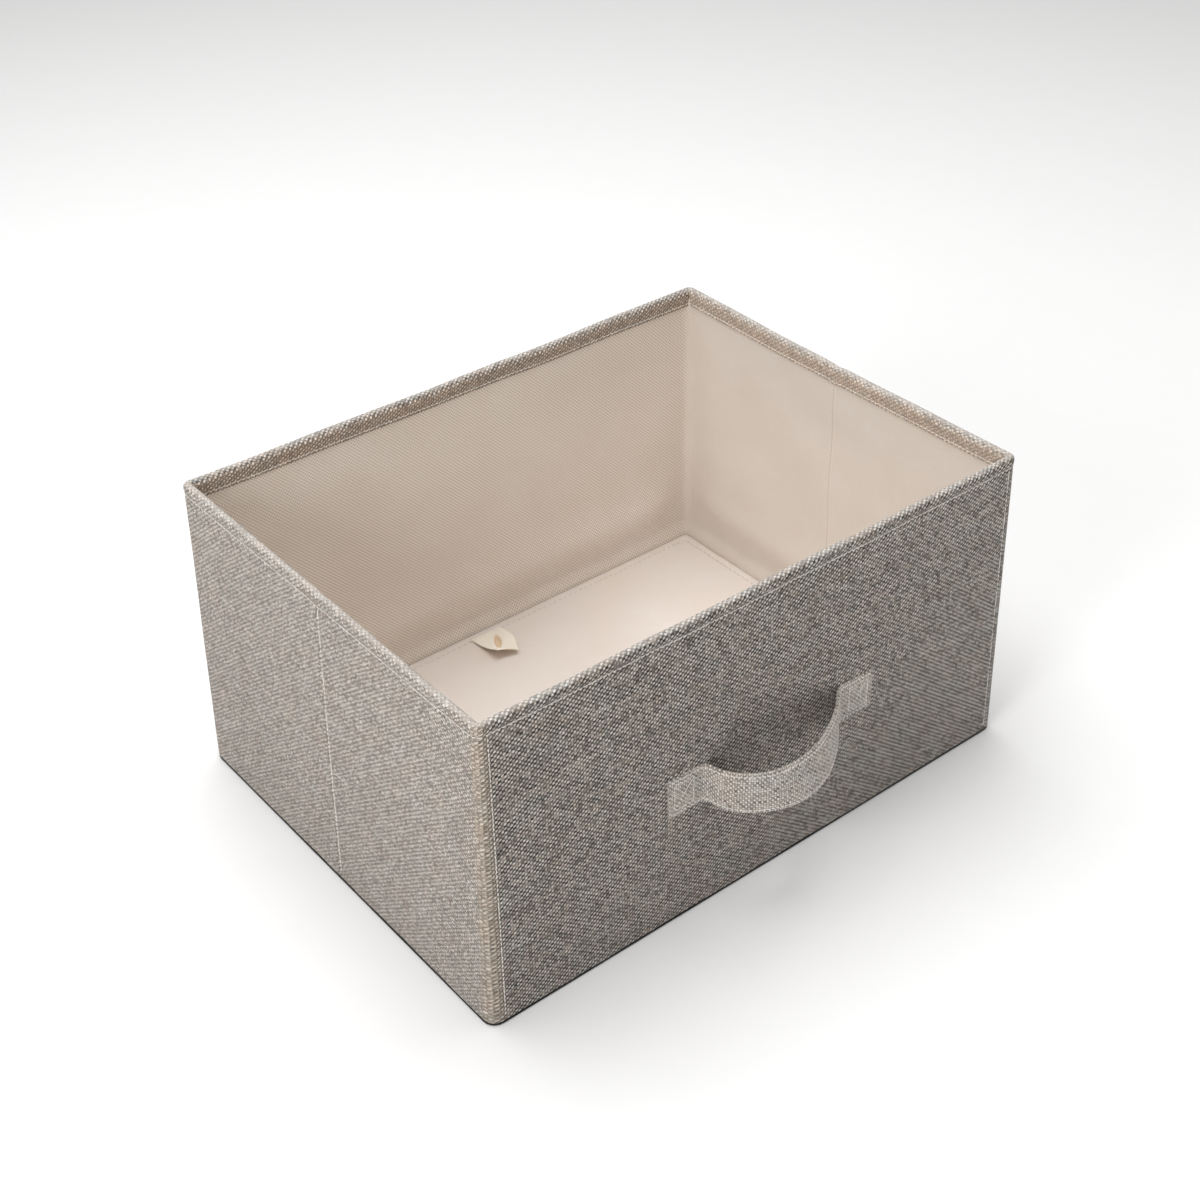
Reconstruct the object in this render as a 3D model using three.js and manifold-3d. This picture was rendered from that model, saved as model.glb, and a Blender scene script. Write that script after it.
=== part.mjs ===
// Folding fabric storage bin: cloth walls over stiffener boards, a webbing handle and a loose base insert.
// Millimetres, +Z up. The origin is the middle of the underside, X runs along the front wall,
// and the front wall with the handle faces -Y.
import * as THREE from 'three';
import { mergeVertices } from 'three/addons/utils/BufferGeometryUtils.js';
import Module from 'manifold-3d';

// The whole bin
const LENGTH = 400;
const DEPTH = 298;
const HEIGHT = 206;
const CORNER_RADIUS = 6;
const GAP = 0.3; // between pieces that touch

// The layers of a wall, from outside to inside
const CLOTH = 1.0;
const BOARD = 2.0;
const LINING = 0.6;
const BOARD_FACE = CLOTH + GAP;
const LINING_FACE = BOARD_FACE + BOARD + GAP;
const HEM_FACE = LINING_FACE + LINING + GAP;
const WALL = HEM_FACE + CLOTH;
const HEM_DEPTH = 12.5; // how far the folded cloth comes down inside the rim
const BOTTOM_PANEL = 1.0;
const LEAF_GAP = 4; // the fold line between the two leaves of an end wall
const RIM_CENTRE = HEIGHT - WALL / 2;

// Stitching
const THREAD = 0.5;
const RIM_STITCH_DROP = 7;
const HEM_STITCH_DROP = HEM_DEPTH - 2;
const FOLD_STITCH_LOW = 6;
const CORNER_STITCH_INSET = 7;

// The handle
const STRAP_WIDTH = 26.8;
const STRAP_THICKNESS = 2.2;
const STRAP_CENTRE_Z = 93;
const STRAP_FAR_LEFT = -77;
const STRAP_FOLD_LEFT = -51;
const STRAP_FOLD_RIGHT = 55;
const STRAP_FAR_RIGHT = 82;
const STRAP_BEND = 3; // the flat end starts to curl up this far before its fold
// The free bow's ends and the two points that pull it outwards: X, and the distance from the wall
const STRAP_LEAVES_LEFT = [-49, 4];
const STRAP_BOW_LEFT = [-34, 35];
const STRAP_BOW_RIGHT = [3, 47];
const STRAP_LEAVES_RIGHT = [51, 3.5];
const GRIP_CLEARANCE = 15; // the grip starts this far from the wall, so its edges swing clear of it
const STRAP_EDGE_STITCH = 3;
const BOX_STITCH_MARGIN = 4.5;

// The loose base insert
const INSERT_CLEARANCE = 2;
const COVER = 0.5;
const BASE_BOARD = 4.0;
const BASE_FLANGE = 10;
const BASE_STITCH_INSET = 8;
const BASE_CORNER = 3;
const TAB_SETBACK = 2; // the tab starts this far inside the board's edge
const TAB_CENTRE_X = 2;
const TAB_WIDTH = 24;
const TAB_REACH = 24;
const TAB_RISE = 9;
const TAB_THICKNESS = 1.2;

const wasm = await Module();
wasm.setup();

const bin = new THREE.Group();

// Materials

function material(colour, roughness) {
  return new THREE.MeshStandardMaterial({ color: colour, roughness, metalness: 0 });
}

const linen = () => material(0xa59d95, 0.95);
const strapLinen = () => material(0xb2aaa1, 0.95);
const liningFelt = () => material(0xd2c3b5, 0.9);
const coverFelt = () => material(0xe2d4c8, 0.9);
const bottomFelt = () => material(0x2b2a29, 0.9);
const greyBoard = () => material(0x9a8f7d, 0.8);
const paleThread = () => material(0xd8d0c6, 0.7);
const creamThread = () => material(0xe6dccf, 0.7);

// Booleans

function toSolid(geometry) {
  const bare = geometry.index ? geometry.toNonIndexed() : geometry.clone();
  bare.deleteAttribute('normal');
  bare.deleteAttribute('uv');
  const merged = mergeVertices(bare, 1e-4);
  const mesh = new wasm.Mesh({
    numProp: 3,
    vertProperties: new Float32Array(merged.attributes.position.array),
    triVerts: new Uint32Array(merged.index.array),
  });
  return new wasm.Manifold(mesh);
}

function fromSolid(solid) {
  const mesh = solid.getMesh();
  const geometry = new THREE.BufferGeometry();
  geometry.setAttribute('position', new THREE.BufferAttribute(mesh.vertProperties, 3));
  geometry.setIndex(new THREE.BufferAttribute(mesh.triVerts, 1));
  geometry.computeVertexNormals();
  return geometry;
}

// Small shape tools

function add(parent, name, geometry, ownMaterial) {
  const mesh = new THREE.Mesh(geometry, ownMaterial);
  mesh.name = name;
  parent.add(mesh);
  return mesh;
}

function box(width, depth, height, x, y, z) {
  return new THREE.BoxGeometry(width, depth, height).translate(x, y, z);
}

function roundedRectangle(shape, halfX, halfY, radius) {
  shape.moveTo(halfX, -halfY + radius);
  shape.lineTo(halfX, halfY - radius);
  shape.absarc(halfX - radius, halfY - radius, radius, 0, Math.PI / 2);
  shape.lineTo(-halfX + radius, halfY);
  shape.absarc(-halfX + radius, halfY - radius, radius, Math.PI / 2, Math.PI);
  shape.lineTo(-halfX, -halfY + radius);
  shape.absarc(-halfX + radius, -halfY + radius, radius, Math.PI, 1.5 * Math.PI);
  shape.lineTo(halfX - radius, -halfY);
  shape.absarc(halfX - radius, -halfY + radius, radius, 1.5 * Math.PI, 2 * Math.PI);
  return shape;
}

function roundedPlate(halfX, halfY, radius, bottom, thickness) {
  const outline = roundedRectangle(new THREE.Shape(), halfX, halfY, radius);
  const plate = new THREE.ExtrudeGeometry(outline, { depth: thickness, bevelEnabled: false, curveSegments: 4 });
  return plate.translate(0, 0, bottom);
}

// A loop of thread that runs round a rounded rectangle; halfX and halfY are its inner sides.
function threadLoop(halfX, halfY, radius, height) {
  const outline = roundedRectangle(new THREE.Shape(), halfX + THREAD, halfY + THREAD, radius + THREAD);
  outline.holes.push(roundedRectangle(new THREE.Path(), halfX, halfY, radius));
  const loop = new THREE.ExtrudeGeometry(outline, { depth: THREAD, bevelEnabled: false, curveSegments: 4 });
  return loop.translate(0, 0, height - THREAD / 2);
}

// The walls

// The cloth's section: up the outside, over the rim and down the inside as a hem.
// The first coordinate is the distance from the wall's outer face, the second is the height.
function clothSection() {
  const section = new THREE.Shape();
  section.moveTo(0, 0);
  section.lineTo(CLOTH, 0);
  section.lineTo(CLOTH, RIM_CENTRE);
  section.absarc(WALL / 2, RIM_CENTRE, WALL / 2 - CLOTH, Math.PI, 0, true);
  section.lineTo(HEM_FACE, HEIGHT - HEM_DEPTH);
  section.lineTo(WALL, HEIGHT - HEM_DEPTH);
  section.lineTo(WALL, RIM_CENTRE);
  section.absarc(WALL / 2, RIM_CENTRE, WALL / 2, 0, Math.PI);
  section.lineTo(0, 0);
  return section;
}

// A wall's own frame: X along the wall, Y inwards from its outer face, Z up.
function wallFrame(x, y, turn) {
  const frame = new THREE.Group();
  frame.position.set(x, y, 0);
  frame.rotation.z = turn;
  bin.add(frame);
  return frame;
}

function clothPanel(frame, name, span) {
  const length = span - 2 * CORNER_RADIUS - GAP;
  const panel = new THREE.ExtrudeGeometry(clothSection(), {
    depth: length,
    bevelEnabled: false,
    curveSegments: 6,
  });
  const stand = new THREE.Matrix4().set(0, 0, 1, -length / 2, 1, 0, 0, 0, 0, 1, 0, 0, 0, 0, 0, 1);
  add(frame, name, panel.applyMatrix4(stand), linen());
}

// A stiffener between the cloth and the lining, from one place along the wall to another.
function stiffener(frame, name, from, to) {
  const bottom = BOTTOM_PANEL + GAP;
  const top = RIM_CENTRE - GAP;
  const depth = BOARD_FACE + BOARD / 2;
  const board = box(to - from, BOARD, top - bottom, (from + to) / 2, depth, (top + bottom) / 2);
  add(frame, name, board, greyBoard());
}

function liningPanel(frame, name, length) {
  const bottom = BOTTOM_PANEL + GAP;
  const top = RIM_CENTRE - GAP;
  const panel = box(length, LINING, top - bottom, 0, LINING_FACE + LINING / 2, (top + bottom) / 2);
  add(frame, name, panel, liningFelt());
}

function longWall(side, y, turn) {
  const frame = wallFrame(0, y, turn);
  const boardEnd = LENGTH / 2 - CORNER_RADIUS - GAP;
  clothPanel(frame, `outer_${side}`, LENGTH);
  stiffener(frame, `board_${side}`, -boardEnd, boardEnd);
  liningPanel(frame, `lining_${side}`, LENGTH - 2 * (LINING_FACE + LINING + GAP));
}

// An end wall folds inwards at its middle, so its stiffener is two leaves.
function endWall(side, x, turn, leafNames) {
  const frame = wallFrame(x, 0, turn);
  const boardEnd = DEPTH / 2 - CORNER_RADIUS - GAP;
  clothPanel(frame, `outer_${side}`, DEPTH);
  stiffener(frame, `board_${side}_${leafNames[0]}`, -boardEnd, -LEAF_GAP / 2);
  stiffener(frame, `board_${side}_${leafNames[1]}`, LEAF_GAP / 2, boardEnd);
  liningPanel(frame, `lining_${side}`, DEPTH - 2 * LINING_FACE);
  const low = FOLD_STITCH_LOW;
  const high = HEIGHT - RIM_STITCH_DROP - 2 * THREAD;
  const fold = box(THREAD, THREAD, high - low, 0, -GAP - THREAD / 2, (low + high) / 2);
  add(frame, `fold_thread_${side}`, fold, paleThread());
}

// The cloth at a vertical corner: the same folded section, turned a quarter of the way round.
function cornerStrip(name, xSide, ySide) {
  const points = clothSection().getPoints(6);
  const ring = points.map((p) => new THREE.Vector2(CORNER_RADIUS - p.x, p.y));
  ring.reverse();
  const turned = new THREE.LatheGeometry(ring, 32).rotateX(Math.PI / 2);
  const reach = 2 * CORNER_RADIUS;
  const middle = GAP / 2 + reach / 2;
  const quarter = box(reach, reach, 2 * HEIGHT, xSide * middle, ySide * middle, HEIGHT / 2);
  const strip = fromSolid(toSolid(turned).intersect(toSolid(quarter)));
  strip.translate(xSide * (LENGTH / 2 - CORNER_RADIUS), ySide * (DEPTH / 2 - CORNER_RADIUS), 0);
  add(bin, name, strip, linen());
}

function cornerThread(name, xSide, ySide) {
  const low = FOLD_STITCH_LOW;
  const high = HEIGHT - RIM_STITCH_DROP - 2 * THREAD;
  const x = xSide * (LENGTH / 2 - CORNER_STITCH_INSET);
  const y = ySide * (DEPTH / 2 + GAP + THREAD / 2);
  add(bin, name, box(THREAD, THREAD, high - low, x, y, (low + high) / 2), paleThread());
}

function walls() {
  longWall('front', -DEPTH / 2, 0);
  longWall('back', DEPTH / 2, Math.PI);
  endWall('right', LENGTH / 2, Math.PI / 2, ['front', 'rear']);
  endWall('left', -LENGTH / 2, -Math.PI / 2, ['rear', 'front']);
  for (const [xName, xSide] of [['left', -1], ['right', 1]]) {
    for (const [yName, ySide] of [['front', -1], ['back', 1]]) {
      cornerStrip(`corner_${yName}_${xName}`, xSide, ySide);
      cornerThread(`corner_thread_${yName}_${xName}`, xSide, ySide);
    }
  }
}

function rimStitching() {
  const halfX = LENGTH / 2 + GAP;
  const halfY = DEPTH / 2 + GAP;
  const outside = threadLoop(halfX, halfY, CORNER_RADIUS + GAP, HEIGHT - RIM_STITCH_DROP);
  add(bin, 'rim_thread', outside, paleThread());
  const inset = WALL + GAP + THREAD;
  const inside = threadLoop(LENGTH / 2 - inset, DEPTH / 2 - inset, GAP, HEIGHT - HEM_STITCH_DROP);
  add(bin, 'hem_thread', inside, creamThread());
}

function bottomPanel() {
  const inset = CLOTH + GAP;
  const panel = roundedPlate(LENGTH / 2 - inset, DEPTH / 2 - inset, CORNER_RADIUS - inset, 0, BOTTOM_PANEL);
  add(bin, 'bottom_panel', panel, bottomFelt());
}

// The handle

// The strap's centre line seen from above: flat on the wall, a bow away from it, flat on the wall again.
function strapLine() {
  const flat = -DEPTH / 2 - GAP - STRAP_THICKNESS / 2;
  const line = new THREE.CurvePath();
  const at = (x, out) => new THREE.Vector2(x, flat - out);
  const flatLeft = at(STRAP_FOLD_LEFT - STRAP_BEND, 0);
  const flatRight = at(STRAP_FOLD_RIGHT + STRAP_BEND, 0);
  const leavesLeft = at(...STRAP_LEAVES_LEFT);
  const leavesRight = at(...STRAP_LEAVES_RIGHT);
  line.add(new THREE.LineCurve(at(STRAP_FAR_LEFT, 0), flatLeft));
  line.add(new THREE.QuadraticBezierCurve(flatLeft, at(STRAP_FOLD_LEFT, 0), leavesLeft));
  line.add(new THREE.CubicBezierCurve(leavesLeft, at(...STRAP_BOW_LEFT), at(...STRAP_BOW_RIGHT), leavesRight));
  line.add(new THREE.QuadraticBezierCurve(leavesRight, at(STRAP_FOLD_RIGHT, 0), flatRight));
  line.add(new THREE.LineCurve(flatRight, at(STRAP_FAR_RIGHT, 0)));
  return line;
}

// The strap's outline from one place along its centre line to another, seen from above.
function strapOutline(line, from, to, steps) {
  const near = [];
  const far = [];
  for (let i = 0; i <= steps; i += 1) {
    const u = from + ((to - from) * i) / steps;
    const point = line.getPointAt(u);
    const along = line.getTangentAt(u);
    const side = new THREE.Vector2(-along.y, along.x).multiplyScalar(STRAP_THICKNESS / 2);
    near.push(point.clone().add(side));
    far.push(point.clone().sub(side));
  }
  return new THREE.Shape([...far, ...near.reverse()]);
}

// Where along the strap, as a share of its length, it is first and last this far from the wall.
function gripShares(line, clearance) {
  const steps = 2000;
  const limit = -DEPTH / 2 - clearance;
  const shares = [];
  for (let i = 0; i <= steps; i += 1) {
    if (line.getPointAt(i / steps).y < limit) {
      shares.push(i / steps);
    }
  }
  return [shares[0], shares[shares.length - 1]];
}

function strapPiece(name, line, from, to, steps) {
  const piece = new THREE.ExtrudeGeometry(strapOutline(line, from, to, steps), {
    depth: STRAP_WIDTH,
    bevelEnabled: false,
  });
  piece.translate(0, 0, STRAP_CENTRE_Z - STRAP_WIDTH / 2);
  add(bin, name, piece, strapLinen());
}

// A thread along the outside of the grip, near one of its edges.
function gripThread(name, line, from, to, height) {
  const steps = 16;
  const points = [];
  for (let i = 0; i <= steps; i += 1) {
    const u = from + ((to - from) * i) / steps;
    const point = line.getPointAt(u);
    const along = line.getTangentAt(u);
    const out = STRAP_THICKNESS / 2 + GAP + THREAD / 2;
    points.push(new THREE.Vector3(point.x + along.y * out, point.y - along.x * out, height));
  }
  const half = THREAD / 2;
  const section = new THREE.Shape();
  section.absarc(0, 0, half, 0, 2 * Math.PI);
  const thread = new THREE.ExtrudeGeometry(section, {
    extrudePath: new THREE.CatmullRomCurve3(points),
    steps: 24,
    curveSegments: 3,
    bevelEnabled: false,
  });
  add(bin, name, thread, paleThread());
}

// The stitched box with a cross in it that holds one end of the strap.
function boxStitch(name, from, to) {
  const width = to - from - 2 * BOX_STITCH_MARGIN;
  const height = STRAP_WIDTH - 2 * BOX_STITCH_MARGIN;
  const frame = toSolid(box(width, THREAD, height, 0, 0, 0));
  const hole = toSolid(box(width - 2 * THREAD, 2 * THREAD, height - 2 * THREAD, 0, 0, 0));
  const diagonal = Math.hypot(width, height) - 2 * THREAD;
  const tilt = Math.atan2(height, width);
  const rising = box(diagonal, THREAD, THREAD, 0, 0, 0).rotateY(-tilt);
  const falling = box(diagonal, THREAD, THREAD, 0, 0, 0).rotateY(tilt);
  const stitch = fromSolid(frame.subtract(hole).add(toSolid(rising)).add(toSolid(falling)));
  const out = DEPTH / 2 + GAP + STRAP_THICKNESS + GAP + THREAD / 2;
  stitch.translate((from + to) / 2, -out, STRAP_CENTRE_Z);
  add(bin, name, stitch, paleThread());
}

function handle() {
  const line = strapLine();
  const cut = GAP / 2 / line.getLength();
  const [first, last] = gripShares(line, GRIP_CLEARANCE);
  strapPiece('handle_end_left', line, 0, first - cut, 24);
  strapPiece('handle_grip', line, first + cut, last - cut, 32);
  strapPiece('handle_end_right', line, last + cut, 1, 24);
  const inset = STRAP_WIDTH / 2 - STRAP_EDGE_STITCH;
  gripThread('grip_thread_top', line, first + 4 * cut, last - 4 * cut, STRAP_CENTRE_Z + inset);
  gripThread('grip_thread_bottom', line, first + 4 * cut, last - 4 * cut, STRAP_CENTRE_Z - inset);
  boxStitch('box_stitch_left', STRAP_FAR_LEFT, STRAP_FOLD_LEFT - STRAP_BEND);
  boxStitch('box_stitch_right', STRAP_FOLD_RIGHT + STRAP_BEND, STRAP_FAR_RIGHT);
}

// The loose base insert: a board between two cover skins that are sewn together round it.
function baseInsert() {
  const halfX = LENGTH / 2 - WALL - INSERT_CLEARANCE;
  const halfY = DEPTH / 2 - WALL - INSERT_CLEARANCE;
  const lowerSkin = BOTTOM_PANEL + GAP;
  const upperSkin = lowerSkin + COVER + GAP;
  const boardTop = upperSkin + BASE_BOARD;
  const coverTop = boardTop + GAP + COVER;
  add(bin, 'insert_cover_lower', roundedPlate(halfX, halfY, BASE_CORNER, lowerSkin, COVER), coverFelt());

  const boardX = halfX - BASE_FLANGE;
  const boardY = halfY - BASE_FLANGE;
  add(bin, 'insert_board', roundedPlate(boardX, boardY, BASE_CORNER, upperSkin, BASE_BOARD), greyBoard());

  const flange = toSolid(roundedPlate(halfX, halfY, BASE_CORNER, upperSkin, COVER));
  const roomX = boardX + GAP;
  const roomY = boardY + GAP;
  const dome = toSolid(
    roundedPlate(roomX + COVER, roomY + COVER, BASE_CORNER + 1, upperSkin, coverTop - upperSkin),
  );
  const below = upperSkin - 1;
  const room = toSolid(roundedPlate(roomX, roomY, BASE_CORNER + 0.5, below, boardTop + GAP - below));
  add(bin, 'insert_cover_upper', fromSolid(flange.add(dome).subtract(room)), coverFelt());

  const stitchX = halfX - BASE_STITCH_INSET;
  const stitchY = halfY - BASE_STITCH_INSET;
  const stitchHeight = upperSkin + COVER + GAP + THREAD / 2;
  add(bin, 'insert_thread', threadLoop(stitchX, stitchY, BASE_CORNER + 1, stitchHeight), creamThread());
  pullTab(boardY - TAB_SETBACK, coverTop + GAP);
}

// The pull tab leaves the stitched edge at rootY and curls up towards the front.
function pullTab(rootY, floor) {
  const start = new THREE.Vector2(rootY, floor + TAB_THICKNESS / 2);
  const bend = new THREE.Vector2(rootY - 0.55 * TAB_REACH, start.y + 0.25 * TAB_RISE);
  const end = new THREE.Vector2(rootY - TAB_REACH, start.y + TAB_RISE);
  const line = new THREE.QuadraticBezierCurve(start, bend, end);
  const upper = [];
  const lower = [];
  for (const u of [0, 0.15, 0.3, 0.45, 0.6, 0.75, 0.9, 1]) {
    const point = line.getPoint(u);
    const along = line.getTangent(u);
    const side = new THREE.Vector2(along.y, -along.x).multiplyScalar(TAB_THICKNESS / 2);
    upper.push(point.clone().add(side));
    lower.push(point.clone().sub(side));
  }
  const section = new THREE.Shape([...lower, ...upper.reverse()]);
  const tab = new THREE.ExtrudeGeometry(section, { depth: TAB_WIDTH, bevelEnabled: false });
  const left = TAB_CENTRE_X - TAB_WIDTH / 2;
  const stand = new THREE.Matrix4().set(0, 0, 1, left, 1, 0, 0, 0, 0, 1, 0, 0, 0, 0, 0, 1);
  add(bin, 'pull_tab', tab.applyMatrix4(stand), coverFelt());

  const barY = rootY + 2 * THREAD;
  const bar = box(TAB_WIDTH, THREAD, THREAD, TAB_CENTRE_X, barY, floor + THREAD / 2);
  add(bin, 'tab_bar_stitch', bar, creamThread());
}

walls();
rimStitching();
bottomPanel();
handle();
baseInsert();

export default bin;
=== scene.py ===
"""Looks for the fabric storage bin: linen, felt lining, stitching, strap and base insert."""

import math

import bmesh
import bpy
import numpy as np
from mathutils import Matrix, Vector


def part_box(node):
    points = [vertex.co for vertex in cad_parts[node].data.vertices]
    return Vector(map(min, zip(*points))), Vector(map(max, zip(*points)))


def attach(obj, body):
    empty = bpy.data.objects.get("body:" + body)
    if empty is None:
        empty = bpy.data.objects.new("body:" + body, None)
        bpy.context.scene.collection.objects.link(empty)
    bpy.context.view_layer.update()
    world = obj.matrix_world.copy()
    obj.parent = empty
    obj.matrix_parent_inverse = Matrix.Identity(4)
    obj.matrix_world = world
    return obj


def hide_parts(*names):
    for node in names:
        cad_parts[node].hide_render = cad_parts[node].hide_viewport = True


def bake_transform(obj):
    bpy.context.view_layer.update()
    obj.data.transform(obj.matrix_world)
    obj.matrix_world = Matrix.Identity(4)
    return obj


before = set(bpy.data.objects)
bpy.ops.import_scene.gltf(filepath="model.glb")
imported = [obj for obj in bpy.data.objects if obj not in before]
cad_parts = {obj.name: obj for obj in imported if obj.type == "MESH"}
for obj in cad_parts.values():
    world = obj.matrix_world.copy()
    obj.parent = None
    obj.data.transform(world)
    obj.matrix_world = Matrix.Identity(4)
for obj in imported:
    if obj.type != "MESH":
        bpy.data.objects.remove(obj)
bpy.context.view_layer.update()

MM = 0.001
FAR = 1.0  # a distance in metres beyond anything on the bin
UPWARDS = (0.0, 0.0, 1.0)
FORWARDS = (0.0, -1.0, 0.0)

# The bin's size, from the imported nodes
HALF_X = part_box("outer_right")[1].x
HALF_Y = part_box("outer_back")[1].y
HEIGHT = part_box("outer_front")[1].z
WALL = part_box("outer_front")[1].y + HALF_Y

# How the sewn cloth departs from a plain box
RIM_INSET = 1.2 * MM
FOOT_OUTSET = 1.3 * MM
RIM_RADIUS = 5 * MM
FOOT_RADIUS = 8 * MM
HEM_DEPTH = 12.5 * MM
RIM_STITCH_DROP = 7 * MM
HEM_STITCH_DROP = 10.5 * MM
CLOTH_THICKNESS = 0.8 * MM
FOOT_LIFT = 1.1 * MM  # the cloth ends this far above the ground, on the dark bottom panel
WALL_BOW = 1.5 * MM
FOLD_KINK = 1.2 * MM  # how far the end walls are pinched in at their fold lines
RIM_DIP = 0.9 * MM  # at a fold line
RIM_SAG = 0.8 * MM
LINING_INSET = WALL - 1.4 * MM
LINING_RADIUS = 5.5 * MM
LINING_FOLD = 2.5 * MM  # the soft fold low down in the lining
LINING_BELLY = 0.9 * MM
LINING_FOOT = 4.1 * MM
STITCH_PITCH = 3.2 * MM

# The linen's weave: from one thread to the next, how far a thread strays and how much it leans
WEFT_PITCH = 1.45 * MM
WARP_PITCH = 1.85 * MM
STRAP_PITCH = 1.45 * MM
STRAY, END_WALL_STRAY = 1.0 * MM, 2.8 * MM
LEAN, SMALL_LEAN = 0.5, 0.15

# The base insert
INSERT_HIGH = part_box("insert_cover_upper")[1]
INSERT_X = INSERT_HIGH.x - 0.8 * MM
INSERT_Y = INSERT_HIGH.y - 0.8 * MM
INSERT_TOP = INSERT_HIGH.z
INSERT_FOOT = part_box("insert_cover_lower")[0].z
INSERT_RADIUS = 3.5 * MM
SEAM_INSET = 6.9 * MM
FLANGE_TOP = INSERT_TOP - 1.3 * MM
BASE_STITCH_PITCH = 4.6 * MM

# The pull tab, and the pinched oval in it as shares of the tab's half width and of its length
TAB_LOW, TAB_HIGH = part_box("pull_tab")
TAB_X = (TAB_LOW.x + TAB_HIGH.x) / 2
TAB_ROOT = INSERT_Y - SEAM_INSET + 0.6 * MM
TAB_HALF = 12.2 * MM
TAB_LENGTH = 32 * MM
PINCH_START = 0.56
PINCH_SLANT = 1.1
PINCH_PLACE = 0.57
PINCH_WIDTH = 0.33
PINCH_LENGTH = 0.38

# The handle's strap
STRAP_LOW, STRAP_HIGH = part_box("handle_end_left")
STRAP_HEIGHT = (STRAP_LOW.z + STRAP_HIGH.z) / 2
STRAP_HALF = (STRAP_HIGH.z - STRAP_LOW.z) / 2
STRAP_THICKNESS = 2.0 * MM
STRAP_FLAT = -HALF_Y - 1.3 * MM
STRAP_SEAM = 0.845  # the edge stitching, as a share of the half width
STRAP_CUP = 0.45 * MM
STRAP_TILT = 2.6 * MM

# Distances round the bin from the front wall's left end, by way of the right, back and left walls.
# HALF_SIDES are half the flat part of each wall, and ARC is the length of a rounded corner.
HALF_SIDES = (HALF_X - RIM_RADIUS, HALF_Y - RIM_RADIUS) * 2
ARC = RIM_RADIUS * math.pi / 2
SIDE_STARTS = [2 * sum(HALF_SIDES[:side]) + side * ARC for side in range(4)]
RING_LENGTH = 2 * sum(HALF_SIDES) + 4 * ARC


# ---------- small tools


def ripple(u, v, wavelength, seed):
    """Smooth, even unevenness of about -1 to 1 that closes on itself round the bin."""
    rng = np.random.default_rng(seed)
    total = 0.0
    waves = 9
    for _ in range(waves):
        around = np.round(RING_LENGTH / wavelength * rng.uniform(-1.2, 1.2))
        up = rng.uniform(-1.2, 1.2) / wavelength
        phase = rng.random()
        total = total + np.sin(2 * np.pi * (around * u / RING_LENGTH + up * v + phase))
    return total / math.sqrt(waves) / 1.4


def smooth(low, high, x):
    """0 below low, 1 above high and a smooth step between them."""
    t = np.clip((x - low) / (high - low), 0, 1)
    return t * t * (3 - 2 * t)


def hump(x, centre, width):
    """A smooth bump of height 1 that is width wide on either side of its centre."""
    return np.exp(-(((x - centre) / width) ** 2))


def unit(vectors):
    """The same directions with a length of 1."""
    return vectors / np.linalg.norm(vectors, axis=-1, keepdims=True)


def run_of(points):
    """The distance along a row of points from its first one."""
    return np.concatenate([[0], np.cumsum(np.linalg.norm(np.diff(points, axis=0), axis=1))])


def lay_out(across, up):
    """A place on the cloth for each row and column, from the distances across and up."""
    return np.stack(np.broadcast_arrays(across[None, :], up[:, None]), axis=-1)


def new_piece(name, points, faces, uv=None):
    """A smooth-shaded object. uv has a place on the cloth for every corner of every face."""
    mesh = bpy.data.meshes.new(name)
    mesh.from_pydata(np.reshape(points, (-1, 3)).tolist(), [], faces)
    if uv is not None:
        layer = mesh.uv_layers.new(name="cloth")
        layer.data.foreach_set("uv", uv.astype(np.float32).ravel())
    mesh.polygons.foreach_set("use_smooth", [True] * len(mesh.polygons))
    mesh.update()
    piece = bpy.data.objects.new(name, mesh)
    bpy.context.collection.objects.link(piece)
    return piece


def flat_piece(name, points, faces):
    """An object whose cloth lies flat, so that its places on the cloth are its points seen from above."""
    order = [corner for face in faces for corner in face]
    return new_piece(name, points, faces, points[order, :2])


def quads_between(index, after):
    """The faces between the rows of a grid. after holds each column's neighbour."""
    return np.stack([index[:-1], after[:-1], after[1:], index[1:]], axis=-1).reshape(-1, 4)


def grid_mesh(name, points, uv, closed=False, flip=False):
    """A mesh from rows and columns of points. uv has one column more where the rows are closed."""
    rows, columns = points.shape[:2]
    index = np.arange(rows * columns).reshape(rows, columns)
    first = np.arange(columns if closed else columns - 1)
    quads = quads_between(index[:, first], np.roll(index, -1, axis=1)[:, first])
    row = np.arange(rows - 1)[:, None]
    corners = [(row, first), (row, first + 1), (row + 1, first + 1), (row + 1, first)]
    loops = np.stack([uv[r, c] for r, c in corners], axis=-2).reshape(-1, 4, 2)
    if flip:
        quads = quads[:, ::-1]
        loops = loops[:, ::-1]
    return new_piece(name, points, quads.tolist(), loops)


def close_ends(piece, rows, columns):
    """Closes the two open ends of a tube made by grid_mesh."""
    mesh = bmesh.new()
    mesh.from_mesh(piece.data)
    mesh.verts.ensure_lookup_table()
    for row in (0, rows - 1):
        mesh.faces.new([mesh.verts[row * columns + k] for k in range(columns)])
    bmesh.ops.recalc_face_normals(mesh, faces=mesh.faces)
    for face in mesh.faces:
        face.smooth = True
    mesh.to_mesh(piece.data)
    mesh.free()


def thicken(piece, thickness):
    """Gives a sheet its thickness on the side behind its faces."""
    solid = piece.modifiers.new("thickness", "SOLIDIFY")
    solid.thickness = thickness
    solid.offset = -1
    graph = bpy.context.evaluated_depsgraph_get()
    mesh = bpy.data.meshes.new_from_object(piece.evaluated_get(graph))
    piece.modifiers.clear()
    piece.data = mesh


def finish_piece(piece, look, body=None, replaces=()):
    """Gives a piece its material, and says what it rides on and stands for."""
    material, slot = look
    piece.data.materials.clear()
    piece.data.materials.append(material)
    if body:
        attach(piece, body)
    if replaces:
        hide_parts(*replaces)
    return piece


# ---------- materials


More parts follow.
